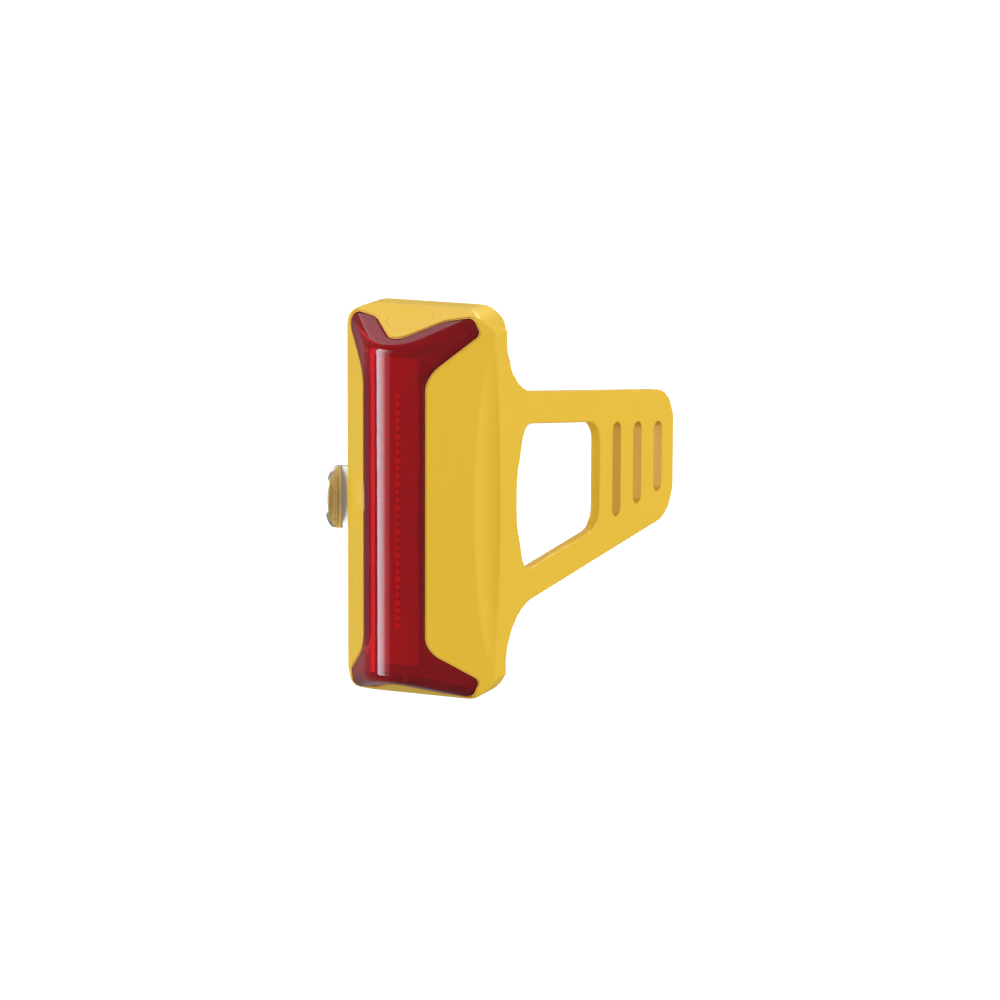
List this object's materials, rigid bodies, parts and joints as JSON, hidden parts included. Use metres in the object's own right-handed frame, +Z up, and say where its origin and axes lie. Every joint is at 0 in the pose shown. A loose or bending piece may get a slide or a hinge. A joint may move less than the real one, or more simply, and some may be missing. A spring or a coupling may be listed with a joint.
{
  "type": "bicycle tail light",
  "caption": "Slim red bike tail light in a yellow silicone sleeve whose slotted strap wraps the seat post onto a steel hook.",
  "frame": {"origin": "on the seat post's axis, at the light's mid-height", "axes": "+Z up along the seat post, -Y out through the lens, +X to the side that the strap leaves from"},
  "size_m": [0.0462, 0.0913, 0.0796],
  "materials": {
    "yellow_silicone": "soft satin",
    "red_lens": "polished, transparent red",
    "black_plastic": "moulded",
    "grey_plastic": "moulded",
    "hook_steel": "polished pressed steel",
    "screw_steel": "plated",
    "seal_rubber": "matte",
    "red_board": "solder mask",
    "led_phosphor": "moulded package",
    "green_board": "solder mask",
    "chip_plastic": "moulded package",
    "cell_foil": "foil pouch",
    "foam": "closed-cell foam",
    "pin_brass": "plated"
  },
  "bodies": {
    "light_body": {"silicone_sleeve": "yellow_silicone", "lens": "red_lens", "lens_seal": "seal_rubber", "front_shell": "black_plastic", "rear_housing": "black_plastic", "housing_seal": "seal_rubber", "housing_screws": "screw_steel", "hook_plate": "hook_steel", "hook_screws": "screw_steel", "led_board": "red_board", "led_dies": "led_phosphor", "led_carrier": "grey_plastic", "led_pins": "pin_brass", "battery_cell": "cell_foil", "battery_pad": "foam", "battery_board": "green_board", "battery_leads": "pin_brass", "main_board": "green_board", "board_chips": "chip_plastic", "charge_socket": "screw_steel", "charge_tongue": "black_plastic", "switch_body": "black_plastic"},
    "strap_link_1": {"strap_legs_front": "yellow_silicone"},
    "strap_link_2": {"strap_legs_rear": "yellow_silicone"},
    "strap_link_3": {"strap_bar": "yellow_silicone"},
    "strap_link_4": {"strap_middle": "yellow_silicone"},
    "strap_link_5": {"strap_end": "yellow_silicone"},
    "button": {"power_button": "yellow_silicone", "button_key": "grey_plastic", "switch_stem": "grey_plastic"},
    "flap": {"port_flap": "yellow_silicone"}
  },
  "joints": [
    {"name": "strap_bend_1", "type": "hinge", "parent": "light_body", "child": "strap_link_1", "pos_m": [0.01867, 0.00402, 0], "axis": [0, 0, 1], "range_deg": [-10, 30], "stiffness_Nm_per_rad": 0.004},
    {"name": "strap_bend_2", "type": "hinge", "parent": "strap_link_1", "child": "strap_link_2", "pos_m": [0.01986, 0.01304, 0], "axis": [0, 0, 1], "range_deg": [-10, 30], "stiffness_Nm_per_rad": 0.004},
    {"name": "strap_bend_3", "type": "hinge", "parent": "strap_link_2", "child": "strap_link_3", "pos_m": [0.02105, 0.02206, 0], "axis": [0, 0, 1], "range_deg": [-10, 30], "stiffness_Nm_per_rad": 0.004},
    {"name": "strap_bend_4", "type": "hinge", "parent": "strap_link_3", "child": "strap_link_4", "pos_m": [0.02223, 0.03109, 0], "axis": [0, 0, 1], "range_deg": [-10, 30], "stiffness_Nm_per_rad": 0.004},
    {"name": "strap_bend_5", "type": "hinge", "parent": "strap_link_4", "child": "strap_link_5", "pos_m": [0.02342, 0.04011, 0], "axis": [0, 0, 1], "range_deg": [-10, 30], "stiffness_Nm_per_rad": 0.004},
    {"name": "button_press", "type": "slide", "parent": "light_body", "child": "button", "axis": [0, 0.3451, -0.9386], "range_m": [0, 0.0004], "stiffness_N_per_m": 2500},
    {"name": "flap_open", "type": "hinge", "parent": "light_body", "child": "flap", "pos_m": [0, -0.01782, -0.0391], "axis": [1, 0, 0], "range_deg": [0, 95], "stiffness_Nm_per_rad": 0.0004}
  ],
  "couplings": [
    {"joint": "strap_bend_2", "follows": "strap_bend_1", "ratio": 1},
    {"joint": "strap_bend_3", "follows": "strap_bend_1", "ratio": 1},
    {"joint": "strap_bend_4", "follows": "strap_bend_1", "ratio": 1},
    {"joint": "strap_bend_5", "follows": "strap_bend_1", "ratio": 1}
  ]
}
